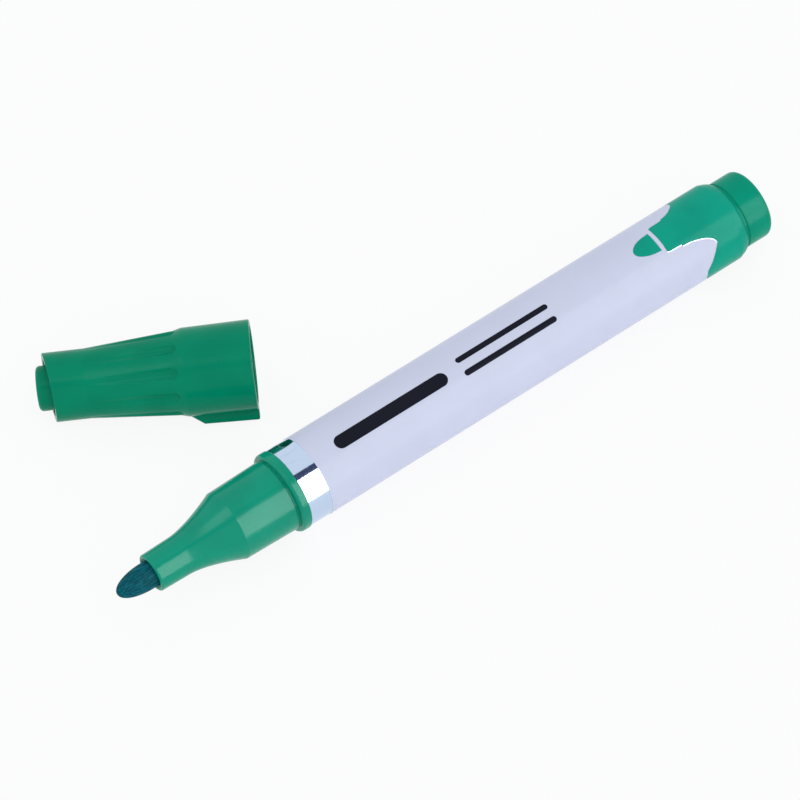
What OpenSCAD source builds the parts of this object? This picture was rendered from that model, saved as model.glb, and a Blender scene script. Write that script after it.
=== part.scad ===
// Whiteboard marker with its cap taken off and lying beside it.
// Millimetres. +X runs along the barrel towards the nib and +Z is up.
// The origin is on the barrel's axis, at the middle of the barrel's length.

/* [Barrel] */
// Outside diameter of the printed barrel
barrel_d = 15.2; // [12:0.1:20]
// Length of the barrel, from the nose collar to the rear lip
barrel_len = 96.6; // [70:0.1:130]
// Wall of the bare barrel tube
barrel_wall = 1.0; // [0.8:0.05:1.3]
// Length of the taper at the rear of the barrel
rear_taper_len = 1.5; // [1:0.1:3]
// How far the rear taper narrows the barrel, on its radius
rear_taper_drop = 0.5; // [0.2:0.05:0.6]

/* [Printed film] */
// Thickness of the silver transfer film
foil_t = 0.06; // [0.04:0.01:0.08]
// Thickness of the ink printed on the film
ink_t = 0.06; // [0.04:0.01:0.08]
// Length of bare silver film that shows behind the nose collar
foil_band_len = 4.4; // [2:0.1:8]
// Length of each printed pen-tip shape, from its point to the rear lip
tip_print_len = 21.2; // [15:0.1:30]
// Turn of the first printed pen tip about the barrel, from straight up
tip_turn = -4.5; // [-40:0.5:40]
// Width of the silver line left between white and green
outline_gap = 0.2; // [0.15:0.05:0.3]

/* [Nose] */
// How far the nose is set in from the barrel's surface
nose_step = 0.825; // [0.6:0.005:1.2]
// How much the nose narrows from the collar to its shoulder, on its radius
nose_draft = 0.225; // [0:0.005:0.5]
// Length of the nose from the collar to the shoulder
nose_len = 10.8; // [7:0.1:15]
// Length of the hollow curve from the shoulder down to the neck
flare_len = 10; // [7:0.1:13]
// Length of the neck that holds the nib
neck_len = 6.1; // [5.5:0.1:9]
// Wall of the neck at its front face
neck_wall = 1.05; // [0.7:0.01:1.3]
// How much the neck widens towards the flare, on its radius
neck_draft = 0.14; // [0:0.01:0.4]
// How far the collar ring stands out of the barrel's surface, next to the barrel
collar_rise = 0.07; // [0.03:0.01:0.6]
// Width of the collar ring
collar_w = 1.8; // [1.2:0.1:3]
// Length of the nose's spigot inside the barrel
nose_spigot_len = 9; // [6:0.5:14]

/* [Nib and ink] */
// Diameter of the fibre nib
nib_d = 4.9; // [4:0.1:6.2]
// Length of nib that stands out of the neck
nib_out = 6.95; // [4:0.05:9]
// Length of the nib's tail inside the ink reservoir
nib_reach = 8; // [4:0.5:12]
// Empty space between the plug's spigot and the reservoir
rear_room = 4.9; // [1:0.1:20]
// Thickness of the plastic film around the reservoir
wrap_t = 0.2; // [0.15:0.05:0.4]

/* [End plug] */
// How far the plug's head is set in from the barrel's rear lip
plug_step = 0.5; // [0.3:0.05:1]
// Length of the plug's head behind the barrel
plug_head_len = 6.2; // [4:0.1:10]
// Rounding of the plug's rear edge
plug_round = 1.4; // [0.5:0.1:2]
// Wall of the plug
plug_wall = 1.2; // [0.8:0.1:1.6]
// Length of the plug's hollow spigot inside the barrel
plug_spigot_len = 8; // [5:0.5:12]

/* [Cap] */
// Wall of the cap shell
cap_wall = 1.15; // [0.9:0.05:1.4]
// Length of the skirt
skirt_len = 12.1; // [11:0.1:14]
// How much the skirt narrows from the mouth to the slope, on its radius
skirt_draft = 0.15; // [0:0.05:0.3]
// Length of the slope between skirt and grip
cap_slope_len = 1.5; // [1:0.1:4]
// How much the slope narrows the cap, on its radius
cap_slope_drop = 0.4; // [0.1:0.05:0.5]
// Length of the straight stretch at the small end
grip_straight_len = 7.8; // [4:0.1:9]
// Number of flutes around the grip
flute_count = 10; // [6:1:14]
// Turn of the flutes about the cap's axis, from one straight up
flute_turn = 1.5; // [1:0.5:10]
// Radius of the cutter that makes a flute
flute_r = 1.4; // [1.2:0.1:1.8]
// Depth of a flute at its deep end
flute_depth = 0.65; // [0.3:0.05:0.9]
// Lean of the small end's rim from square, in degrees
rim_lean = 9.5; // [0:0.5:11]
// Side that the rim is longest on, as a turn about the cap's axis from straight up
rim_turn = 105; // [60:1:120]
// Height of the fin that stops the cap from rolling
fin_h = 1.75; // [0.8:0.05:2]
// Width of that fin
fin_w = 1.8; // [1.2:0.1:3]
// Length of that fin from the cap's mouth
fin_len = 12; // [8:0.1:12]
// How much lower the fin is at its far end
fin_draft = 0.3; // [0:0.05:0.5]

/* [Inner cup of the cap] */
// Wall of the inner cup
cup_wall = 0.85; // [0.6:0.05:1.2]
// Gap around the widest part of the cup, which lets air through the cap
vent_gap = 0.48; // [0.3:0.02:1]
// Room around the nib inside the cup
nib_room = 0.72; // [0.4:0.02:1]
// Room in front of the nib's point when the cap is on
tip_room = 3.25; // [1:0.05:6]
// Thickness of the cup's closed end
cup_end_t = 1.1; // [0.8:0.1:2]
// How far the cup's end stands out of the shell's longest side, as a button
button_out = 0.95; // [0.3:0.05:3]
// Length of neck that the inner cup covers when the cap is on
cup_cover = 6; // [4:0.1:6.5]
// Thickness of the ribs that hold the cup in the shell
rib_w = 1.0; // [0.8:0.1:1.5]

/* [Fits] */
// Gap around the end plug's spigot
plug_gap = 0.05; // [0.02:0.01:0.09]
// Gap between the capped nose and the cap's mouth
cap_gap = 0.08; // [0.05:0.01:0.15]
// Gap between the neck and the inner cup
seal_gap = 0.04; // [0.02:0.01:0.08]
// Gap around the nib in the neck
nib_gap = 0.03; // [0.02:0.01:0.06]
// Gap between the reservoir and the barrel
reservoir_gap = 0.25; // [0.1:0.05:0.4]

/* [Cap at rest] */
// Place of the cap's mouth along the barrel, from the barrel's front end
cap_back = 10.3; // [0:0.1:40]
// Place of the cap's mouth to the side of the barrel's axis
cap_aside = 24; // [20:0.1:60]
// Turn of the cap's axis away from the barrel's axis
cap_yaw = -31.4; // [-60:0.1:0]
// Turn of the fin about the cap's axis, below level
fin_turn = 45; // [30:1:52]

/* [Hidden] */

ink = "#1a9c7c";
$fn = 96;

// Places along the barrel's axis
x_front = barrel_len / 2;
x_rear = -barrel_len / 2;
x_taper = x_rear + rear_taper_len;
x_collar = x_front + collar_w;
x_shoulder = x_collar + nose_len;
x_neck = x_shoulder + flare_len;
x_neck_end = x_neck + neck_len;
x_nib = x_neck_end + nib_out;
x_head = x_rear - plug_head_len;
x_core_front = x_front - nose_spigot_len - 0.5;
x_core_rear = x_rear + plug_spigot_len + rear_room;
x_tail = x_core_front - nib_reach;
point_len = nib_out - 0.7;

// Radii of the marker
barrel_r = barrel_d / 2;
film_r = barrel_r - ink_t;
tube_r = film_r - foil_t;
bore_r = tube_r - barrel_wall;
nose_rear_r = barrel_r - nose_step;
nose_front_r = nose_rear_r - nose_draft;
nib_r = nib_d / 2;
nose_bore_r = nib_r + nib_gap;
neck_front_r = nose_bore_r + neck_wall;
neck_rear_r = neck_front_r + neck_draft;
collar_r = barrel_r + collar_rise;
chamber_r = bore_r - 1.2;
wrap_r = bore_r - reservoir_gap;
core_r = wrap_r - wrap_t;
plug_r = barrel_r - rear_taper_drop - plug_step;
plug_spigot_r = bore_r - plug_gap;
floor_z = -collar_r;

// The two printed pen tips: the nib's half angle, then the lobes of white beside them, each as the
// place and the angle where it ends, and the place that their far sides run out to
tip_nib_half = 15.5;
wide_lobe = [0.4, 54];
long_lobe = [0.304, 47];
lobe_side = [0.45, 82];
deg_per_mm = 180 / PI / barrel_r;

// Radii of the cap, from what it has to fit over
cap_mouth_r = nose_rear_r + cap_gap;
cap_r = cap_mouth_r + cap_wall;
skirt_rear_r = cap_r - skirt_draft;
grip_big_r = skirt_rear_r - cap_slope_drop;
cup_r = neck_rear_r + seal_gap;
shell_in_r = cup_r + cup_wall + vent_gap;
grip_small_r = shell_in_r + cap_wall;
button_r = nib_r + nib_room + cup_wall;

// Places along the cap's own axis, which starts at its mouth and runs to its small end
x_neck_face = nose_len + flare_len + neck_len;
cup_end = x_neck_face + nib_out + tip_room + cup_end_t;
cap_len = cup_end - button_out;
x_grip = skirt_len + cap_slope_len;
x_straight = cap_len - grip_straight_len;
x_cone_end = nose_len + 0.57 * flare_len;
cone_slope = (grip_big_r - grip_small_r) / (x_straight - x_grip);
x_cup_open = x_neck_face - cup_cover;
x_cup_step = x_neck_face + 0.8;

// The cap rests on the end of its skirt and on the underside of its small end
cap_foot = cap_len - grip_small_r * tan(rim_lean) * (1 + cos(rim_turn));
cap_pitch = atan((skirt_rear_r - grip_small_r) / (cap_foot - skirt_len));
cap_z = floor_z + skirt_rear_r * cos(cap_pitch) + skirt_len * sin(cap_pitch);

// Outer radius of the grip at a place along the cap
function grip_r(x) = grip_big_r - cone_slope * (min(x, x_straight) - x_grip);

// Points of an arc, from one angle to another
function arc(cx, cy, r, from, to, n = 12) =
    [for (i = [0 : n])
        let (a = from + (to - from) * i / n)
            [cx + r * cos(a), cy + r * sin(a)]];

// Turns an outline of [radius, place] points about the X axis
module turned(outline) {
    rotate([0, 90, 0])
        rotate_extrude()
            polygon(outline);
}

// A plain tube about the X axis
module tube(x0, x1, r_out, r_in) {
    translate([x0, 0, 0])
        rotate([0, 90, 0])
            difference() {
                cylinder(h = x1 - x0, r = r_out);
                translate([0, 0, -1])
                    cylinder(h = x1 - x0 + 2, r = r_in);
            }
}

// A film wrapped round the barrel from the taper's end to x1
module film(x1, r_out, r_in) {
    turned([
        [r_in - rear_taper_drop, x_rear],
        [r_out - rear_taper_drop, x_rear],
        [r_out, x_taper],
        [r_out, x1],
        [r_in, x1],
        [r_in, x_taper],
    ]);
}

// The nib's outline: a long rounded point, a rod and a tail that narrows to its end
function nib_outline() = concat(
    [for (i = [0 : 16])
        let (a = 90 * i / 16)
            [nib_r * pow(sin(a), 0.95), x_nib - point_len * (1 - cos(a))]],
    [[nib_r, x_tail + 3], [nib_r / 2, x_tail], [0, x_tail]]);

// Bullet nib of pressed fibre
module nib() {
    color("#14606a")
        turned(nib_outline());
}

// Nose: neck, hollow flare, body, collar ring and the spigot in the barrel
module nose_section() {
    rise = nose_front_r - neck_rear_r;
    groove_r = nose_rear_r - 0.25;
    flare = [for (i = [1 : 14]) [neck_rear_r + rise * pow(i / 14, 1.5), x_neck - flare_len * i / 14]];
    outer = concat(
        [[nose_bore_r, x_neck_end]],
        arc(neck_front_r - 0.3, x_neck_end - 0.3, 0.3, 90, 0, 4),
        [[neck_rear_r, x_neck]],
        flare,
        [[nose_rear_r, x_collar + 0.5], [groove_r, x_collar + 0.4], [groove_r, x_collar]],
        arc(collar_r - 0.62, x_collar - 0.6, 0.6, 90, 0, 6),
        [[collar_r, x_front], [bore_r, x_front], [bore_r, x_front - nose_spigot_len]]);
    inner = [
        [chamber_r, x_front - nose_spigot_len],
        [chamber_r, x_collar],
        [nose_bore_r + 1.6, x_shoulder - 1],
        [nose_bore_r, x_neck]];
    color(ink)
        turned(concat(outer, inner));
}

// Barrel tube with its tapered rear lip
module barrel_tube() {
    color(ink)
        turned([
            [bore_r, x_rear],
            [tube_r - rear_taper_drop, x_rear],
            [tube_r, x_taper],
            [tube_r, x_front],
            [bore_r, x_front],
        ]);
}

// Silver transfer film round the barrel
module foil_film() {
    color("#c8ccd4")
        film(x_front, film_r, tube_r);
}

// A distance aside on the barrel, for an angle from the middle of a pen tip
function side(angle) = barrel_r * sin(angle);

// Half of a printed nib, as [distance from the rear lip, distance aside] points, grown all round
function nib_print(grow) =
    [for (i = [0 : 12])
        let (a = 90 * i / 12)
            [tip_print_len * (0.784 + 0.216 * cos(a)) + grow * (i < 12 ? cos(a) : -1),
             side((tip_nib_half + grow * deg_per_mm) * sin(a))]];

// One side of a printed neck and shoulder in the same form; the shoulder curves out to the lobe's
// end, and from there the edge runs straight to the barrel's side
function shoulder_print(lobe, grow) =
    let (neck = [[0.743, 21.5], [0.72, 23], [0.605, 23.5], [0.595, 26]],
         spread = grow * deg_per_mm,
         front = tip_print_len * neck[0][0] + grow,
         rear = tip_print_len * lobe_side[0] + grow * 1.2)
    concat(
        [[front, 0], [front, side(neck[0][1] + spread)]],
        [for (i = [1 : 3]) [tip_print_len * neck[i][0], side(neck[i][1] + spread)]],
        [for (i = [1 : 12])
            let (a = 90 * i / 12)
                [tip_print_len * (0.59 - (0.59 - lobe[0]) * pow(sin(a), 1.2)) + grow * sin(a),
                 side(26 + (lobe[1] - 26) * (1 - cos(a)) + spread * cos(a))]],
        [for (i = [1 : 5])
            [tip_print_len * (lobe[0] + (lobe_side[0] - lobe[0]) * i / 5) + grow * 1.2,
             side(lobe[1] + (lobe_side[1] - lobe[1]) * i / 5)]],
        [[rear, barrel_r + 1], [-1, barrel_r + 1]]);

// A flat outline from the points of its two sides, seen from above
module two_sides(left, right) {
    polygon(concat(
        [for (p = left) [x_rear + p[0], p[1]]],
        [for (i = [len(right) - 1 : -1 : 1]) [x_rear + right[i][0], -right[i][1]]]));
}

// All that the pen-tip print covers, as a solid round the barrel
module tip_region(grow) {
    for (turn = [0, 180])
        rotate([tip_turn + turn, 0, 0])
            translate([0, 0, -0.05])
                linear_extrude(height = barrel_d) {
                    two_sides(nib_print(grow), nib_print(grow));
                    two_sides(shoulder_print(long_lobe, grow), shoulder_print(wide_lobe, grow));
                }
}

// White ink, with the pen tips and a thin silver outline left clear
module white_print() {
    color("#dde0f0")
        difference() {
            film(x_front - foil_band_len, barrel_r, film_r);
            tip_region(outline_gap);
        }
}

// Green ink: the pen tips and the rear end
module green_print() {
    color(ink)
        intersection() {
            film(x_rear + tip_print_len, barrel_r, film_r);
            tip_region(0);
        }
}

// Fibre reservoir, with a blind hole for the nib's tail
module reservoir_core() {
    color("#2c8f86")
        difference() {
            translate([x_core_rear, 0, 0])
                rotate([0, 90, 0])
                    cylinder(h = x_core_front - x_core_rear, r = core_r);
            turned(nib_outline());
        }
}

// Clear film round the reservoir
module reservoir_wrap() {
    color("#e8eef0")
        tube(x_core_rear, x_core_front, wrap_r, core_r);
}

// Rear plug: a hollow spigot and a closed head that the cap can sit on
module end_plug() {
    inner_r = plug_spigot_r - plug_wall;
    groove_r = plug_r - 0.2;
    color(ink)
        turned(concat(
            [[0, x_head]],
            arc(plug_r - plug_round, x_head + plug_round, plug_round, -90, 0, 8),
            [[plug_r, x_rear - 0.9],
             [groove_r, x_rear - 0.8],
             [groove_r, x_rear],
             [plug_spigot_r, x_rear],
             [plug_spigot_r, x_rear + plug_spigot_len - 0.5],
             [plug_spigot_r - 0.5, x_rear + plug_spigot_len],
             [inner_r, x_rear + plug_spigot_len],
             [inner_r, x_head + plug_wall],
             [0, x_head + plug_wall]]));
}

// Puts a piece drawn along the cap's own axis where the cap lies
module at_cap() {
    translate([x_front - cap_back, -cap_aside, cap_z])
        rotate([0, 0, cap_yaw])
            rotate([0, cap_pitch, 0])
                children();
}

// Space inside the cap shell, from before the mouth to past the small end
module cap_inside() {
    turned([
        [0, -1],
        [cap_mouth_r, -1],
        [cap_mouth_r, nose_len + 0.5],
        [shell_in_r, x_cone_end],
        [shell_in_r, cap_len + 1],
        [0, cap_len + 1],
    ]);
}

// One flute: a round-ended cutter, deep at the slope and running out towards the small end
module flute() {
    x_deep = x_grip + 0.7;
    r_deep = grip_r(x_deep) - flute_depth + flute_r;
    r_out = grip_r(x_straight) + flute_r;
    lean = atan((r_deep - r_out) / (x_straight - x_deep));
    translate([x_deep, 0, r_deep])
        rotate([0, 90 + lean, 0]) {
            cylinder(h = x_straight - x_deep, r = flute_r, $fn = 48);
            sphere(r = flute_r, $fn = 48);
        }
}

// Fin along the skirt that keeps the cap from rolling
module fin() {
    root = cap_mouth_r + 0.3;
    top = cap_r + fin_h;
    translate([0, fin_w / 2, 0])
        rotate([90, 0, 0])
            linear_extrude(height = fin_w)
                polygon([
                    [0, root],
                    [0, top],
                    [fin_len - 2.3, top - fin_draft],
                    [fin_len, skirt_rear_r - 0.1],
                    [fin_len, root],
                ]);
}

// The cap shell before it is hollowed, fluted and trimmed
module cap_blank() {
    turned(concat(
        [[0, 0]],
        arc(cap_r - 0.3, 0.3, 0.3, -90, 0, 4),
        [[skirt_rear_r, skirt_len],
         [grip_big_r, x_grip],
         [grip_small_r, x_straight],
         [grip_small_r, cap_len],
         [0, cap_len]]));
    rotate([-90 - fin_turn, 0, 0])
        fin();
}

// Outer shell of the cap, open at both ends
module cap_shell() {
    color("#0f8f66")
        at_cap()
            difference() {
                cap_blank();
                cap_inside();
                for (i = [0 : flute_count - 1])
                    rotate([360 / flute_count * i + flute_turn, 0, 0])
                        flute();
                rotate([rim_turn, 0, 0])
                    translate([cap_len, 0, grip_small_r])
                        rotate([0, rim_lean, 0])
                            translate([0, -2 * cap_r, -4 * cap_r])
                                cube([2 * cap_r, 4 * cap_r, 6 * cap_r]);
            }
}

// Inner cup: seals on the neck, shows as a button and is held by four ribs
module cap_inner_cup() {
    outer_r = cup_r + cup_wall;
    color("#0f8f66")
        at_cap() {
            turned(concat(
                [[cup_r, x_cup_open],
                 [outer_r, x_cup_open],
                 [outer_r, x_cup_step],
                 [button_r, x_cup_step + 1]],
                arc(button_r - 0.6, cup_end - 0.6, 0.6, 0, 90, 6),
                [[0, cup_end],
                 [0, cup_end - cup_end_t],
                 [button_r - cup_wall, cup_end - cup_end_t],
                 [button_r - cup_wall, x_cup_step + 1],
                 [cup_r, x_cup_step]]));
            intersection() {
                cap_inside();
                for (i = [0 : 3])
                    rotate([45 + 90 * i, 0, 0])
                        translate([x_cup_open + 0.5, -rib_w / 2, outer_r - 0.2])
                            cube([cup_cover - 0.5, rib_w, cap_r]);
            }
        }
}

nib();
nose_section();
barrel_tube();
foil_film();
white_print();
green_print();
reservoir_core();
reservoir_wrap();
end_plug();
cap_shell();
cap_inner_cup();
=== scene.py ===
"""Looks of the whiteboard marker: its plastics, mirror film, inks and fibres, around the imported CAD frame."""

import logging
import math
from dataclasses import dataclass, field
from enum import Enum
from typing import Callable, Iterable, Sequence

import bpy
from mathutils import Matrix, Vector
from mathutils.geometry import delaunay_2d_cdt


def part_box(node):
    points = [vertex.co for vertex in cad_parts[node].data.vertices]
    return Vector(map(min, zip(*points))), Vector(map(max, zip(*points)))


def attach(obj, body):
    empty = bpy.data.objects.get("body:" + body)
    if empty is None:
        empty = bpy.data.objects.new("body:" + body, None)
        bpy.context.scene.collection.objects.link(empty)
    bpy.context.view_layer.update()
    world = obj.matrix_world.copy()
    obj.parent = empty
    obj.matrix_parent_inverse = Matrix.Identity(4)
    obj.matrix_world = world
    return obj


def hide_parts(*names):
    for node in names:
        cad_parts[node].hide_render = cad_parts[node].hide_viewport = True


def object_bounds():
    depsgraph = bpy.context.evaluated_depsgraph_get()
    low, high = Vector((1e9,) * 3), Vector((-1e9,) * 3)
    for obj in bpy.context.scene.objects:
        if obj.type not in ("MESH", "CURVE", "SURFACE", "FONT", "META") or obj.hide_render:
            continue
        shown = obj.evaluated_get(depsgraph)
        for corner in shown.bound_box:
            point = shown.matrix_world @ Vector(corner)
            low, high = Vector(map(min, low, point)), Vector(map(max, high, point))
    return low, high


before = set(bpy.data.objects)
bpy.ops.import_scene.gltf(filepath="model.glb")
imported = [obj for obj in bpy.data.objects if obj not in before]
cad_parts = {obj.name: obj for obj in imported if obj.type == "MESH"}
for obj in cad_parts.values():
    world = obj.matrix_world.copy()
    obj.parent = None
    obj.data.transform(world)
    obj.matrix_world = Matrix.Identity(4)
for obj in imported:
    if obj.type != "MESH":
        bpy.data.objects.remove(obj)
CAD_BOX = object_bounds()

LOG = logging.getLogger("marker")
MM = 0.001
TINY = 1e-6
TAU = 2 * math.pi
RIGHT = math.pi / 2
SHARP = math.radians(32)

Point = tuple[float, float]
Colour = tuple[float, float, float]
GroupParts = tuple[bpy.types.NodeTree, "Nodes", bpy.types.Node, bpy.types.Node]


class Body(Enum):
    """The bodies of the frame that pieces ride on."""

    MARKER = "marker"
    PLUG = "plug"
    CAP = "cap"


class Slot(Enum):
    """The material slots of the record."""

    GREEN_PLASTIC = "green_plastic"
    CAP_PLASTIC = "cap_plastic"
    SILVER_FILM = "silver_film"
    WHITE_INK = "white_ink"
    GREEN_INK = "green_ink"
    NIB_FIBRE = "nib_fibre"
    RESERVOIR_FIBRE = "reservoir_fibre"
    CLEAR_FILM = "clear_film"


# ---------------------------------------------------------------- outlines


def rounded(corners: Sequence[tuple[float, float, float]], steps: int = 6) -> list[Point]:
    """Rounds the corners of an outline with arcs.

    Args:
        corners: (place, radius, rounding) for each corner, in millimetres; a rounding of 0 stays sharp.
        steps: how many chords an arc gets.

    Returns:
        The outline's points as (place, radius), in millimetres.
    """
    points: list[Point] = []
    last = len(corners) - 1
    for i, (x, r, fillet) in enumerate(corners):
        here = Vector((x, r))
        if fillet <= 0 or i in (0, last):
            points.append((x, r))
            continue
        back = (Vector(corners[i - 1][:2]) - here).normalized()
        ahead = (Vector(corners[i + 1][:2]) - here).normalized()
        half = back.angle(ahead) / 2
        reach = fillet / math.tan(half)
        centre = here + (back + ahead).normalized() * (fillet / math.sin(half))
        start, end = here + back * reach - centre, here + ahead * reach - centre
        turn = start.angle_signed(end)
        for part in spread(0, -turn, steps):
            spoke = start.copy()
            spoke.rotate(Matrix.Rotation(part, 2))
            points.append(tuple(centre + spoke))
    return points


def spread(start: float, end: float, steps: int) -> list[float]:
    """Even values from start to end, both included."""
    return [start + (end - start) * i / steps for i in range(steps + 1)]


# ---------------------------------------------------------------- meshes


@dataclass
class Sheet:
    """A mesh being made: its points, its faces, and a normal for each corner of each face."""

    points: list[Vector] = field(default_factory=list)
    faces: list[tuple[int, ...]] = field(default_factory=list)
    normals: list[tuple[Vector, ...]] = field(default_factory=list)

    def add_point(self, point: Vector) -> int:
        """Adds a point and returns its number."""
        self.points.append(point)
        return len(self.points) - 1

    def add_face(self, corners: Sequence[int], normals: Sequence[Vector]) -> None:
        """Adds a face with a normal for each of its corners."""
        self.faces.append(tuple(corners))
        self.normals.append(tuple(normals))

    def add_box(self, low: Vector, high: Vector, turn: Matrix) -> None:
        """Adds a box with flat sides, given by two corners, then turned."""
        corners = [self.add_point(turn @ Vector((x, y, z)))
                   for x in (low.x, high.x) for y in (low.y, high.y) for z in (low.z, high.z)]
        sides = (((0, 1, 3, 2), (-1, 0, 0)), ((4, 6, 7, 5), (1, 0, 0)), ((0, 4, 5, 1), (0, -1, 0)),
                 ((2, 3, 7, 6), (0, 1, 0)), ((0, 2, 6, 4), (0, 0, -1)), ((1, 5, 7, 3), (0, 0, 1)))
        for quad, aim in sides:
            self.add_face([corners[q] for q in quad], [turn.to_3x3() @ Vector(aim)] * 4)

    def even_normals(self) -> None:
        """Gives every point the mean normal of its faces by area, which keeps wide faces flat."""
        sums = [Vector() for _ in self.points]
        for face in self.faces:
            a, b, c, d = (self.points[i] for i in face)
            area = (c - a).cross(d - b)
            for i in face:
                sums[i] += area
        self.normals = [tuple(sums[i].normalized() for i in face) for face in self.faces]

    def to_object(self, name: str, place: Matrix = Matrix.Identity(4)) -> bpy.types.Object:
        """Makes the object, in metres, from the points in millimetres.

        Args:
            name: the object's name.
            place: where the piece's own axes lie in the row frame, in millimetres.

        Returns:
            The new object, linked to the scene.
        """
        mesh = bpy.data.meshes.new(name)
        mesh.from_pydata([(place @ p) * MM for p in self.points], [], self.faces)
        turn = place.to_3x3().normalized()
        corner_normals = [(turn @ n).normalized() for face in self.normals for n in face]
        mesh.shade_smooth()
        mesh.normals_split_custom_set(corner_normals)
        mesh.update()
        piece = bpy.data.objects.new(name, mesh)
        bpy.context.scene.collection.objects.link(piece)
        return piece


def outline_normals(outline: Sequence[Point], closed: bool) -> list[tuple[Vector, Vector]]:
    """Normals of an outline's segments at their two ends.

    A bend under SHARP is shaded round. Where a long segment meets a short one there, the long one's
    normal is used, so that flats stay flat up to their rounded edge.

    Args:
        outline: points (place, radius) that run so that the solid lies on their right.
        closed: whether the last point joins the first.

    Returns:
        For each segment, the normals (place, radius) at its start and its end.
    """
    count = len(outline)
    total = count if closed else count - 1
    ways = [Vector(outline[(i + 1) % count]) - Vector(outline[i]) for i in range(total)]
    plain = [Vector((-w.y, w.x)).normalized() for w in ways]

    def joint(a: int, b: int, own: int) -> Vector:
        """The normal that segment own has where segments a and b meet."""
        if plain[a].angle(plain[b]) > SHARP:
            return plain[own]
        if ways[a].length > 3 * ways[b].length:
            return plain[a]
        if ways[b].length > 3 * ways[a].length:
            return plain[b]
        return (plain[a] + plain[b]).normalized()

    ends = []
    for i in range(total):
        before = (i - 1) % total if closed or i else i
        after = (i + 1) % total if closed or i < total - 1 else i
        ends.append((joint(before, i, i), joint(i, after, i)))
    return ends


def lathe(outline: Sequence[Point], sides: int = 160, closed: bool = True) -> Sheet:
    """Turns an outline about the X axis.

    Args:
        outline: points (place, radius) in millimetres, running so that the solid lies on their right.
        sides: how many steps the turn has.
        closed: whether the last point joins the first, as in a tube.

    Returns:
        The turned mesh.
    """
    sheet = Sheet()
    spokes = [(math.sin(TAU * k / sides), math.cos(TAU * k / sides)) for k in range(sides)]
    rings: list[list[int]] = []
    for x, r in outline:
        if r < TINY:
            rings.append([sheet.add_point(Vector((x, 0, 0)))] * sides)
        else:
            rings.append([sheet.add_point(Vector((x, r * sine, r * cosine))) for sine, cosine in spokes])
    for i, (first, second) in enumerate(outline_normals(outline, closed)):
        near, far = rings[i], rings[(i + 1) % len(rings)]
        for k in range(sides):
            m = (k + 1) % sides
            corners = [near[k], far[k], far[m], near[m]]
            aims = [(first, k), (second, k), (second, m), (first, m)]
            shown = [c for c in range(4) if corners[c] not in corners[:c]]
            if len(shown) < 3:
                continue
            normals = [Vector((aims[c][0].x, aims[c][0].y * spokes[aims[c][1]][0],
                               aims[c][0].y * spokes[aims[c][1]][1])) for c in shown]
            sheet.add_face([corners[c] for c in shown], normals)
    return sheet


def inside(point: Point, outline: Sequence[Point]) -> bool:
    """Whether a point lies inside a closed outline."""
    x, y = point
    hit = False
    for (x0, y0), (x1, y1) in zip(outline, [*outline[1:], outline[0]]):
        if (y0 > y) != (y1 > y) and x < x0 + (x1 - x0) * (y - y0) / (y1 - y0):
            hit = not hit
    return hit


def clear_of(point: Point, outline: Sequence[Point], gap: float) -> bool:
    """Whether a point is further than gap from every side of a closed outline."""
    here = Vector(point)
    for a, b in zip(outline, [*outline[1:], outline[0]]):
        start, way = Vector(a), Vector(b) - Vector(a)
        share = max(0.0, min(1.0, (here - start).dot(way) / max(way.length_squared, 1e-12)))
        if (start + way * share - here).length < gap:
            return False
    return True


@dataclass(frozen=True)
class Wrap:
    """The barrel's surface, which flat artwork (place, distance round) is wrapped on."""

    radius: float
    slope: Callable[[float], tuple[float, float]]

    def point(self, place: float, around: float, depth: float, turn: float) -> Vector:
        """The point on the barrel, in millimetres, at a depth under its surface."""
        angle = around / self.radius + turn
        r = self.slope(place)[0] - depth
        return Vector((place, r * math.sin(angle), r * math.cos(angle)))

    def normal(self, place: float, around: float, turn: float) -> Vector:
        """The outward normal of the barrel there."""
        angle = around / self.radius + turn
        tilt = self.slope(place)[1]
        return Vector((math.sin(tilt), math.cos(tilt) * math.sin(angle), math.cos(tilt) * math.cos(angle)))


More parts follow.
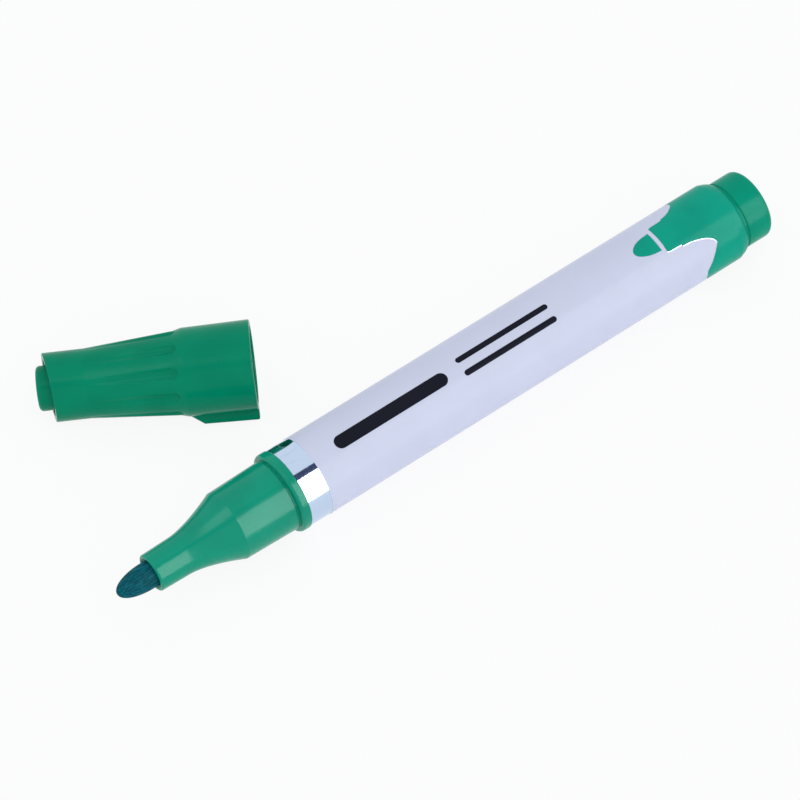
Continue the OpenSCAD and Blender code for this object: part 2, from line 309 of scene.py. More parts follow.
@dataclass
class Artwork:
    """Flat artwork with crisp edges: outlines and holes in (place, distance round), in millimetres."""

    outline: list[Point]
    holes: list[list[Point]] = field(default_factory=list)
    place_step: float = 1.2
    round_step: float = 0.33

    def seeds(self) -> list[Point]:
        """Points inside the artwork that let it bend round the barrel."""
        xs, ys = zip(*self.outline)
        columns = max(2, round((max(xs) - min(xs)) / self.place_step))
        rows = max(2, round((max(ys) - min(ys)) / self.round_step))
        gap = self.round_step * 0.6
        points = []
        for x in spread(min(xs), max(xs), columns)[1:-1]:
            for y in spread(min(ys), max(ys), rows)[1:-1]:
                if not inside((x, y), self.outline) or not clear_of((x, y), self.outline, gap):
                    continue
                if all(not inside((x, y), hole) and clear_of((x, y), hole, gap) for hole in self.holes):
                    points.append((x, y))
        return points

    def split(self, loop: Sequence[Point]) -> list[Point]:
        """Adds points along the sides that run round the barrel, so that they bend with it."""
        points: list[Point] = []
        for (x0, y0), (x1, y1) in zip(loop, [*loop[1:], loop[0]]):
            parts = max(1, math.ceil(abs(y1 - y0) / self.round_step))
            points += list(zip(spread(x0, x1, parts), spread(y0, y1, parts)))[:-1]
        return points

    def add_to(self, sheet: Sheet, wrap: Wrap, depth: float, turns: Iterable[float]) -> None:
        """Adds the artwork to a mesh as closed shells of a given thickness, once for each turn."""
        loops = [self.split(loop) for loop in (self.outline, *self.holes)]
        flat = [Vector(p) for loop in loops for p in loop]
        edges, start = [], 0
        for loop in loops:
            count = len(loop)
            edges += [(start + i, start + (i + 1) % count) for i in range(count)]
            start += count
        flat += [Vector(p) for p in self.seeds()]
        points, _, triangles, *_ = delaunay_2d_cdt(flat, edges, [], 0, TINY)
        kept = []
        for tri in triangles:
            middle = sum((points[i] for i in tri), Vector((0, 0))) / 3
            if inside(tuple(middle), self.outline) and not any(inside(tuple(middle), h) for h in self.holes):
                kept.append(tuple(tri))
        for turn in turns:
            self._shell(sheet, wrap, depth, turn, points, kept)

    @staticmethod
    def _shell(sheet: Sheet, wrap: Wrap, depth: float, turn: float,
               points: Sequence[Vector], triangles: Sequence[tuple[int, ...]]) -> None:
        """Adds one closed shell: its top, its underside and the wall between them."""
        used = sorted({i for tri in triangles for i in tri})
        top = {i: sheet.add_point(wrap.point(*points[i], 0, turn)) for i in used}
        under = {i: sheet.add_point(wrap.point(*points[i], depth, turn)) for i in used}
        out = {i: wrap.normal(*points[i], turn) for i in used}
        rim: dict[tuple[int, int], None] = {}
        for tri in triangles:
            a, b, c = (points[i] for i in tri)
            order = tri if (b - a).cross(c - a) > 0 else tri[::-1]
            sheet.add_face([top[i] for i in order], [out[i] for i in order])
            sheet.add_face([under[i] for i in order[::-1]], [-out[i] for i in order[::-1]])
            for i, j in zip(order, [*order[1:], order[0]]):
                if (j, i) in rim:
                    del rim[(j, i)]
                else:
                    rim[(i, j)] = None
        for i, j in rim:
            way = sheet.points[top[j]] - sheet.points[top[i]]
            side = way.cross(out[i]).normalized()
            sheet.add_face([top[j], top[i], under[i], under[j]], [side] * 4)


# ---------------------------------------------------------------- shader help


class Nodes:
    """A short way to place and join shader nodes in one node tree."""

    def __init__(self, tree: bpy.types.NodeTree) -> None:
        """Keeps the tree to work in."""
        self.tree = tree

    def add(self, kind: str, settings: dict | None = None, **inputs: object) -> bpy.types.Node:
        """Adds a node.

        Args:
            kind: the node's Blender type.
            settings: properties of the node.
            **inputs: input sockets by name, with _ for a space: a value, or a socket to link from.

        Returns:
            The new node.
        """
        made = self.tree.nodes.new(kind)
        for key, value in (settings or {}).items():
            setattr(made, key, value)
        for key, value in inputs.items():
            socket = made.inputs[int(key[1:]) if key in ("n0", "n1") else key.replace("_", " ")]
            if isinstance(value, bpy.types.NodeSocket):
                self.tree.links.new(value, socket)
            else:
                socket.default_value = value
        return made

    def link(self, source: bpy.types.NodeSocket, target: bpy.types.NodeSocket) -> None:
        """Joins two sockets."""
        self.tree.links.new(source, target)

    def math(self, rule: str, a: object, b: object = 0.0) -> bpy.types.NodeSocket:
        """Adds a Math node and returns its result."""
        return self.add("ShaderNodeMath", {"operation": rule}, n0=a, n1=b).outputs[0]

    def ramp(self, value: bpy.types.NodeSocket, low: float, high: float, out_low: float,
             out_high: float) -> bpy.types.NodeSocket:
        """Maps low..high to out_low..out_high, smoothly and clamped."""
        made = self.add("ShaderNodeMapRange", {"interpolation_type": "SMOOTHSTEP"}, Value=value, From_Min=low,
                        From_Max=high, To_Min=out_low, To_Max=out_high)
        return made.outputs["Result"]

    def noise(self, where: bpy.types.NodeSocket, scale: bpy.types.NodeSocket, detail: float,
              roughness: float) -> bpy.types.NodeSocket:
        """Adds a noise texture and returns its value."""
        made = self.add("ShaderNodeTexNoise", Vector=where, Scale=scale, Detail=detail, Roughness=roughness)
        return made.outputs["Fac"]

    def emboss(self, shader: bpy.types.Node, height: bpy.types.NodeSocket) -> None:
        """Gives a shader the relief of a height in millimetres."""
        bump = self.add("ShaderNodeBump", Height=height, Distance=MM)
        self.link(bump.outputs[0], shader.inputs["Normal"])

    def mix(self, factor: object, a: object, b: object) -> bpy.types.NodeSocket:
        """Mixes two colours and returns the result."""
        made = self.add("ShaderNodeMix", {"data_type": "RGBA"})
        for index, value in ((0, factor), (6, a), (7, b)):
            if isinstance(value, bpy.types.NodeSocket):
                self.link(value, made.inputs[index])
            else:
                made.inputs[index].default_value = value
        return made.outputs[2]


def new_group(name: str, inputs: dict[str, float], outputs: Sequence[str]) -> GroupParts:
    """Starts a shader node group.

    Args:
        name: the group's name.
        inputs: its number inputs and their default values.
        outputs: its number outputs.

    Returns:
        The group, its node helper, its input node and its output node.
    """
    group = bpy.data.node_groups.new(name, "ShaderNodeTree")
    for key, value in inputs.items():
        group.interface.new_socket(key, in_out="INPUT", socket_type="NodeSocketFloat").default_value = value
    for key in outputs:
        group.interface.new_socket(key, in_out="OUTPUT", socket_type="NodeSocketFloat")
    nodes = Nodes(group)
    return group, nodes, nodes.add("NodeGroupInput"), nodes.add("NodeGroupOutput")


def moulded_skin_group() -> bpy.types.NodeTree:
    """Skin of a moulded or printed surface: soft waves, fine grain and faint handling marks.

    Returns:
        A group with the outputs Waves, Grain and Marks, each about 0 to 1.
    """
    scales = {"Wave Scale": 160.0, "Grain Scale": 2600.0, "Mark Scale": 420.0}
    group, nodes, source, sink = new_group("moulded_skin", scales, ("Waves", "Grain", "Marks"))
    where = nodes.add("ShaderNodeTexCoord").outputs["Object"]
    stretched = nodes.add("ShaderNodeMapping", Vector=where, Scale=(0.25, 1.0, 1.0)).outputs[0]
    marks = nodes.noise(stretched, source.outputs["Mark Scale"], 4.0, 0.65)
    nodes.link(nodes.noise(where, source.outputs["Wave Scale"], 2.0, 0.4), sink.inputs["Waves"])
    nodes.link(nodes.noise(where, source.outputs["Grain Scale"], 3.0, 0.6), sink.inputs["Grain"])
    nodes.link(nodes.ramp(marks, 0.56, 0.72, 0.0, 1.0), sink.inputs["Marks"])
    return group


def fibre_group() -> bpy.types.NodeTree:
    """Bonded fibres that run along the marker.

    Returns:
        A group with the outputs Strands and Clumps, each about 0 to 1.
    """
    scales = {"Strand Scale": 3600.0, "Clump Scale": 900.0}
    group, nodes, source, sink = new_group("bonded_fibre", scales, ("Strands", "Clumps"))
    where = nodes.add("ShaderNodeTexCoord").outputs["Object"]
    along = nodes.add("ShaderNodeMapping", Vector=where, Scale=(0.16, 1.0, 1.0)).outputs[0]
    nodes.link(nodes.noise(along, source.outputs["Strand Scale"], 4.0, 0.6), sink.inputs["Strands"])
    nodes.link(nodes.noise(where, source.outputs["Clump Scale"], 3.0, 0.55), sink.inputs["Clumps"])
    return group


def new_material(name: str) -> tuple[bpy.types.Material, Nodes, bpy.types.Node]:
    """A new material with only its Principled shader, ready to fill.

    Returns:
        The material, its node helper and its shader.
    """
    material = bpy.data.materials.new(name)
    material.use_nodes = True
    nodes = Nodes(material.node_tree)
    return material, nodes, material.node_tree.nodes["Principled BSDF"]


def place_group(nodes: Nodes, group: bpy.types.NodeTree, **values: float) -> bpy.types.Node:
    """Puts a node group in a material with its own values."""
    made = nodes.add("ShaderNodeGroup", {"node_tree": group})
    for key, value in values.items():
        made.inputs[key.replace("_", " ")].default_value = value
    return made


def dial(shader: bpy.types.Node, **values: object) -> None:
    """Sets a shader's own input sockets by name, with _ for a space."""
    for key, value in values.items():
        shader.inputs[key.replace("_", " ")].default_value = value


def shade(colour: Colour, factor: float) -> tuple[float, float, float, float]:
    """A colour made darker or lighter by a factor, with an alpha of 1."""
    return (*(min(1.0, c * factor) for c in colour), 1.0)


# ---------------------------------------------------------------- finishes


@dataclass(frozen=True)
class GlossFinish:
    """A glossy moulded plastic or ink."""

    name: str
    colour: Colour
    roughness: float = 0.2
    depth: float = 0.0
    wave_height: float = 0.012
    grain_height: float = 0.001
    colour_drift: float = 0.05
    specular: float = 0.5

    def build(self, skin: bpy.types.NodeTree) -> bpy.types.Material:
        """Makes the material.

        Args:
            skin: the group that gives its waves, grain and marks.

        Returns:
            The material.
        """
        material, nodes, shader = new_material(self.name)
        effect = place_group(nodes, skin)
        drift = nodes.ramp(effect.outputs["Waves"], 0.3, 0.7, 0.0, 1.0)
        deep, pale = shade(self.colour, 1 - self.colour_drift), shade(self.colour, 1 + self.colour_drift)
        nodes.link(nodes.mix(drift, deep, pale), shader.inputs["Base Color"])
        rough = nodes.math("MULTIPLY_ADD", effect.outputs["Marks"], self.roughness * 0.35)
        rough.node.inputs[2].default_value = self.roughness
        nodes.link(rough, shader.inputs["Roughness"])
        height = nodes.math("MULTIPLY", effect.outputs["Waves"], self.wave_height)
        fine = nodes.math("MULTIPLY", effect.outputs["Grain"], self.grain_height)
        nodes.emboss(shader, nodes.math("ADD", height, fine))
        dial(shader, IOR=1.49, Specular_IOR_Level=self.specular)
        if self.depth > 0:
            dial(shader, Subsurface_Weight=self.depth, Subsurface_Radius=(0.5, 1.0, 0.7), Subsurface_Scale=MM)
        return material


@dataclass(frozen=True)
class MirrorFinish:
    """Mirror film pressed on to the barrel."""

    name: str = "mirror_film"
    colour: Colour = (0.53, 0.65, 0.83)
    roughness: float = 0.07
    wave_height: float = 0.006

    def build(self, skin: bpy.types.NodeTree) -> bpy.types.Material:
        """Makes the material."""
        material, nodes, shader = new_material(self.name)
        effect = place_group(nodes, skin, Wave_Scale=240.0, Mark_Scale=700.0)
        colour = nodes.mix(effect.outputs["Marks"], shade(self.colour, 1.0), shade(self.colour, 0.93))
        nodes.link(colour, shader.inputs["Base Color"])
        dial(shader, Metallic=1.0)
        rough = nodes.ramp(effect.outputs["Grain"], 0.3, 0.7, self.roughness * 0.8, self.roughness * 1.5)
        nodes.link(rough, shader.inputs["Roughness"])
        nodes.emboss(shader, nodes.math("MULTIPLY", effect.outputs["Waves"], self.wave_height))
        return material


@dataclass(frozen=True)
class FibreFinish:
    """Pressed fibre, wet with ink."""

    name: str
    colour: Colour
    roughness: float = 0.55
    strand_height: float = 0.05

    def build(self, fibre: bpy.types.NodeTree) -> bpy.types.Material:
        """Makes the material.

        Args:
            fibre: the group that gives its strands and clumps.

        Returns:
            The material.
        """
        material, nodes, shader = new_material(self.name)
        effect = place_group(nodes, fibre)
        tone = nodes.ramp(effect.outputs["Strands"], 0.35, 0.65, 0.0, 1.0)
        streaks = nodes.mix(tone, shade(self.colour, 0.62), shade(self.colour, 1.5))
        patches = nodes.ramp(effect.outputs["Clumps"], 0.4, 0.65, 0.0, 0.5)
        nodes.link(nodes.mix(patches, streaks, shade(self.colour, 0.7)), shader.inputs["Base Color"])
        dry = nodes.ramp(effect.outputs["Clumps"], 0.35, 0.7, self.roughness * 0.75, self.roughness * 1.25)
        nodes.link(dry, shader.inputs["Roughness"])
        lumps = nodes.math("MULTIPLY", effect.outputs["Clumps"], 0.5)
        height = nodes.math("ADD", effect.outputs["Strands"], lumps)
        nodes.emboss(shader, nodes.math("MULTIPLY", height, self.strand_height))
        dial(shader, Specular_IOR_Level=0.03)
        return material


@dataclass(frozen=True)
class ClearFilmFinish:
    """Thin translucent film around the reservoir."""

    name: str = "clear_film"
    colour: Colour = (0.72, 0.86, 0.82)
    wave_height: float = 0.04

    def build(self, skin: bpy.types.NodeTree) -> bpy.types.Material:
        """Makes the material."""
        material, nodes, shader = new_material(self.name)
        effect = place_group(nodes, skin, Wave_Scale=500.0)
        nodes.link(nodes.mix(effect.outputs["Waves"], shade(self.colour, 0.9), shade(self.colour, 1.05)),
                   shader.inputs["Base Color"])
        nodes.link(nodes.ramp(effect.outputs["Marks"], 0.0, 1.0, 0.22, 0.4), shader.inputs["Roughness"])
        nodes.emboss(shader, nodes.math("MULTIPLY", effect.outputs["Waves"], self.wave_height))
        return material


class Finishes:
    """Every material of the marker, built once."""

    def __init__(self) -> None:
        """Builds the shared effects and the materials."""
        skin, fibre = moulded_skin_group(), fibre_group()
        leaf, ink = (0.001, 0.320, 0.195), {"wave_height": 0.006, "specular": 0.04}
        finishes = (
            GlossFinish("green_plastic", leaf, depth=0.05, specular=0.16),
            GlossFinish("plug_plastic", leaf, depth=0.05, specular=0.05),
            GlossFinish("cap_plastic", (0.0, 0.262, 0.138), depth=0.05, specular=0.06),
            GlossFinish("green_ink", (0.006, 0.365, 0.245), **ink),
            GlossFinish("white_ink", (0.68, 0.715, 0.86), colour_drift=0.01, **ink),
            GlossFinish("black_ink", (0.012, 0.013, 0.022), 0.24, **ink),
        )
        (self.green_plastic, self.plug_plastic, self.cap_plastic, self.green_ink, self.white_ink,
         self.black_ink) = (finish.build(skin) for finish in finishes)
        self.silver_film = MirrorFinish().build(skin)
        self.nib_fibre = FibreFinish("nib_fibre", (0.004, 0.108, 0.136)).build(fibre)
        self.reservoir_fibre = FibreFinish("reservoir_fibre", (0.02, 0.26, 0.21), 0.8).build(fibre)
        self.clear_film = ClearFilmFinish().build(skin)


def settle(piece: bpy.types.Object, body: Body, material: bpy.types.Material, slot: Slot,
           *replaced: str) -> bpy.types.Object:
    """Dresses a piece, puts it on its body and hides the CAD nodes it stands for.

    Args:
        piece: the new piece, in place.
        body: the body it rides on.
        material: its finish.
        slot: the record's material slot; not used.
        *replaced: CAD nodes that it stands for.

    Returns:
        The piece.
    """
    piece.data.materials.append(material)
    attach(piece, body.value)
    if replaced:
        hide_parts(*replaced)
    LOG.info("%s rides on %s, %d faces", piece.name, body.value, len(piece.data.polygons))
    return piece


def node_box(node: str) -> tuple[Vector, Vector]:
    """Lowest and highest corner of a CAD node, in millimetres."""
    low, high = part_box(node)
    return low / MM, high / MM


# ---------------------------------------------------------------- the marker


@dataclass
class Nose:
    """The green nose: neck, hollow flare, body, collar ring and spigot, with the nib in its bore."""

    nib_out: float = 6.95
    neck_len: float = 6.1
    flare_len: float = 10.0
    body_len: float = 10.8
    collar_w: float = 1.8
    collar_rise: float = 0.07
    nose_step: float = 0.825
    nose_draft: float = 0.225
    neck_wall: float = 1.05
    neck_draft: float = 0.14
    nib_gap: float = 0.03
    spigot_len: float = 9.0
    spigot_wall: float = 1.2
    groove_depth: float = 0.22
    bore_r: float = 6.48

    def __post_init__(self) -> None:
        """Reads the places and radii that the frame gives."""
        self.front = node_box("barrel_tube")[1].x
        self.end = node_box("nose_section")[1].x
        self.nib_low, self.nib_high = node_box("nib")
        self.collar_r = node_box("nose_section")[1].z
        self.nib_r = self.nib_high.z

    def outline(self) -> list[Point]:
        """The nose's outline, from the bore's mouth along the outside and back through the inside."""
        collar = self.front + self.collar_w
        shoulder = collar + self.body_len
        neck = shoulder + self.flare_len
        rear_r = self.collar_r - self.collar_rise - self.nose_step
        front_r = rear_r - self.nose_draft
        bore = self.nib_r + self.nib_gap
        neck_r = bore + self.neck_wall
        neck_rear_r = neck_r + self.neck_draft
        rise = front_r - neck_rear_r
        flare = [(neck - self.flare_len * t, neck_rear_r + rise * t ** 1.5) for t in spread(0, 1, 40)[1:-1]]
        groove = rear_r - self.groove_depth
        mouth = rounded([(self.end - 0.55, bore, 0), (self.end, bore + 0.5, 0.1), (self.end, neck_r, 0.34),
                         (neck, neck_rear_r, 0)], 8)
        body = rounded([(*flare[-1], 0), (shoulder, front_r, 0.16), (collar + 0.5, rear_r, 0.12),
                        (collar + 0.34, groove, 0.06), (collar, groove, 0.06),
                        (collar, self.collar_r - 0.02, 0.6), (self.front + 0.02, self.collar_r, 0.18),
                        (self.front, self.bore_r, 0)], 8)
        spigot = self.front - self.spigot_len
        inner_r = self.bore_r - self.spigot_wall
        inside_wall = [(spigot, self.bore_r), (spigot, inner_r), (collar, inner_r), (shoulder - 1, bore + 1.6),
                       (neck, bore)]
        return [*mouth, *flare, *body[1:], *inside_wall][::-1]

    def build(self, finishes: Finishes) -> None:
        """Builds and dresses the nose and the nib."""
        piece = lathe(self.outline(), 192).to_object("nose_moulding")
        settle(piece, Body.MARKER, finishes.green_plastic, Slot.GREEN_PLASTIC, "nose_section")
        self.build_nib(finishes)

    def build_nib(self, finishes: Finishes) -> None:
        """Builds the bullet nib, which runs through the neck into the reservoir."""
        tip, tail = self.nib_high.x, self.nib_low.x
        point = self.nib_out - 0.7
        nose = [(tip - point * (1 - math.cos(a)), self.nib_r * math.sin(a) ** 0.95) for a in spread(0, RIGHT, 48)]
        outline = [*nose, (tip - point - 4, self.nib_r), (tail + 3, self.nib_r), (tail, self.nib_r / 2),
                   (tail, 0.0)]
        piece = lathe(outline[::-1], 128, closed=False).to_object("bullet_nib")
        settle(piece, Body.MARKER, finishes.nib_fibre, Slot.NIB_FIBRE, "nib")


@dataclass
class Barrel:
    """The barrel tube with its mirror film, its white and green print and a few plain black bars.

    The lobes, the side and the shoulder of the print are each a share of the pen tip's length and degrees from
    its middle. Each bar is its middle along the barrel, its middle round it, its length and its width.
    """

    ink: float = 0.06
    foil: float = 0.06
    wall: float = 1.0
    taper_len: float = 1.5
    taper_drop: float = 0.5
    lip_round: float = 0.22
    band_len: float = 4.4
    tip_len: float = 21.2
    first_tip: float = math.radians(4.5)
    outline_gap: float = 0.07
    nib_half: float = math.radians(15.5)
    wide_lobe: Point = (0.4, 54.0)
    long_lobe: Point = (0.304, 47.0)
    lobe_side: Point = (0.45, 82.0)
    shoulder: Point = (0.59, 26.0)
    bars: tuple[tuple[float, float, float, float], ...] = (
        (27.0, 1.6, 24.0, 2.6), (2.0, 0.2, 20.0, 1.1), (2.0, 3.0, 20.0, 1.1))

    def __post_init__(self) -> None:
        """Reads the places and the radius that the frame gives."""
        low, high = node_box("barrel_tube")
        self.rear, self.front = low.x, high.x
        self.radius = node_box("white_print")[1].z
        self.bore_r = high.z - self.wall

    def surface(self, place: float) -> tuple[float, float]:
        """Radius of the printed surface and the tilt of its normal at a place along the barrel."""
        taper = self.rear + self.taper_len
        if place >= taper:
            return self.radius, 0.0
        tilt = math.atan2(self.taper_drop, self.taper_len)
        share = (taper - place) / self.taper_len
        r = self.radius - self.taper_drop * share
        lip = place - self.rear
        if lip < self.lip_round:
            drop = 1 - lip / self.lip_round
            tilt += (math.pi / 2 - tilt) * 0.8 * drop
            r -= self.lip_round * 0.35 * drop * drop
        return r, -tilt

    def half_tip(self, lobe: Point, grow: float) -> list[Point]:
        """One side of a printed neck and shoulder.

        Args:
            lobe: where the white lobe beside it ends, as a share of the tip's length and degrees from its middle.
            grow: how much the outline is grown all round.

        Returns:
            Points (distance from the rear lip, distance round), from the neck's front to the barrel's side.
        """
        start, least = self.shoulder
        arc = [(start - (start - lobe[0]) * math.sin(a) ** 1.2, least + (lobe[1] - least) * (1 - math.cos(a)),
                grow * math.sin(a), grow * math.cos(a)) for a in spread(0, RIGHT, 40)[1:]]
        side = [(share, angle, grow * 1.2, 0.0)
                for share, angle in zip(spread(lobe[0], self.lobe_side[0], 8), spread(lobe[1], self.lobe_side[1], 8))]
        steps = [(0.743, 21.5, grow, grow), (0.72, 23, 0, grow), (0.605, 23.5, 0, grow), (0.595, 26, 0, grow),
                 *arc, *side[1:], (self.lobe_side[0], 90.0, grow * 1.2, 0.0)]
        return [(self.tip_len * share + ahead, math.radians(angle) * self.radius + aside)
                for share, angle, ahead, aside in steps]

    def full_tip(self, grow: float) -> list[Point]:
        """The edge of a printed neck and shoulder, from one of the barrel's sides to the other."""
        left, right = self.half_tip(self.long_lobe, grow), self.half_tip(self.wide_lobe, grow)
        return [*left[::-1], *[(x, -y) for x, y in right]]

    def nib_mark(self, grow: float) -> list[Point]:
        """The printed nib, as a closed outline."""
        base = self.tip_len * 0.784
        reach = self.tip_len * 0.216 + grow
        edge = self.nib_half * self.radius + grow
        arc = [(base + reach * math.cos(a), edge * math.sin(a)) for a in spread(-RIGHT, RIGHT, 48)]
        if grow > 0:
            arc = [(base - grow, -edge), *arc, (base - grow, edge)]
        return [(self.rear + x, y) for x, y in arc]

    def green_mark(self) -> list[Point]:
        """Half of the green rear, with its printed neck and shoulder, as a closed outline."""
        edge = self.full_tip(0)
        ends = [self.taper_len, self.lip_round, self.lip_round * 0.5, 0.0]
        right, left = [(x, edge[-1][1]) for x in ends], [(x, edge[0][1]) for x in ends[::-1]]
        return [(self.rear + x, y) for x, y in [*edge, *right, *left]]

    def white_mark(self) -> list[Point]:
        """Half of the white label, cut clear of the green by the silver outline, as a closed outline."""
        edge = self.full_tip(self.outline_gap)
        front = self.front - self.band_len - self.rear
        return [(self.rear + x, y) for x, y in [*edge, (front, edge[-1][1]), (front, edge[0][1])]]

    def turns(self) -> list[float]:
        """The turn of each printed pen tip about the barrel."""
        return [self.first_tip, self.first_tip + math.pi]

    def build(self, finishes: Finishes) -> None:
        """Builds and dresses the barrel and its layers."""
        self.build_tube(finishes)
        wrap = Wrap(self.radius, self.surface)
        white = Sheet()
        Artwork(self.white_mark(), [self.nib_mark(self.outline_gap)]).add_to(white, wrap, self.ink, self.turns())
        settle(white.to_object("white_label"), Body.MARKER, finishes.white_ink, Slot.WHITE_INK, "white_print")
        green = Sheet()
        Artwork(self.green_mark(), place_step=0.5).add_to(green, wrap, self.ink, self.turns())
        Artwork(self.nib_mark(0), place_step=0.6).add_to(green, wrap, self.ink, self.turns())
        settle(green.to_object("green_label"), Body.MARKER, finishes.green_ink, Slot.GREEN_INK, "green_print")
        self.build_bars(finishes)

    def build_tube(self, finishes: Finishes) -> None:
        """Builds the tube and the mirror film round it."""
        tube_r = self.radius - self.ink - self.foil
        lip_r = tube_r - self.taper_drop
        tube = rounded([(self.rear + 0.4, self.bore_r, 0), (self.rear, self.bore_r + 0.1, 0.08),
                        (self.rear, lip_r, 0.16), (self.rear + self.taper_len, tube_r, 0),
                        (self.front, tube_r, 0), (self.front, self.bore_r, 0)])
        settle(lathe(tube).to_object("barrel_moulding"), Body.MARKER, finishes.green_plastic, Slot.GREEN_PLASTIC,
               "barrel_tube")
        film_r = tube_r + self.foil
        lip, taper = self.rear + 0.1, self.rear + self.taper_len
        film = [(lip, lip_r), (lip, lip_r + self.foil), (taper, film_r), (self.front, film_r), (self.front, tube_r),
                (taper, tube_r)]
        settle(lathe(film, 192).to_object("mirror_film"), Body.MARKER, finishes.silver_film, Slot.SILVER_FILM,
               "foil_film")

    def build_bars(self, finishes: Finishes) -> None:
        """Builds plain black bars in the place of the printed words."""
        bars = Sheet()
        wrap = Wrap(self.radius, lambda place: (self.radius + 0.02, 0.0))
        for bar in self.bars:
            Artwork(rounded_bar(*bar), place_step=2.0).add_to(bars, wrap, 0.03, [0.0])
        settle(bars.to_object("plain_bars"), Body.MARKER, finishes.black_ink, Slot.WHITE_INK)


def rounded_bar(place: float, around: float, length: float, width: float) -> list[Point]:
    """The outline of a bar with round ends."""
    r = width / 2
    reach = length / 2 - r
    return [(place + side * (reach + r * math.cos(a)), around + side * r * math.sin(a))
            for side in (1, -1) for a in spread(-RIGHT, RIGHT, 16)]


@dataclass
class Plug:
    """The rear plug: a grooved head with a rounded rim and a hollow spigot."""

    head_round: float = 1.1
    wall: float = 1.2
    groove: float = 0.2
    spigot_len: float = 8.0

    def build(self, finishes: Finishes) -> None:
        """Builds and dresses the plug."""
        low, high = node_box("end_plug")
        rear = node_box("barrel_tube")[0].x
        spigot_r = node_box("barrel_tube")[1].z - 1.0 - 0.05
        head_r = high.z
        inner = spigot_r - self.wall
        groove_r, end = head_r - self.groove, rear + self.spigot_len
        outline = rounded([(low.x, 0.0, 0), (low.x, head_r, self.head_round), (rear - 0.95, head_r, 0.14),
                           (rear - 0.78, groove_r, 0.06), (rear, groove_r, 0.02), (rear, spigot_r, 0.02),
                           (end - 0.5, spigot_r, 0.2), (end, spigot_r - 0.5, 0.1), (end, inner, 0.2),
                           (low.x + self.wall, inner, 0.4), (low.x + self.wall, 0.0, 0)], 8)
        piece = lathe(outline, 160, closed=False).to_object("rear_plug")
        settle(piece, Body.PLUG, finishes.plug_plastic, Slot.GREEN_PLASTIC, "end_plug")


# ---------------------------------------------------------------- the cap


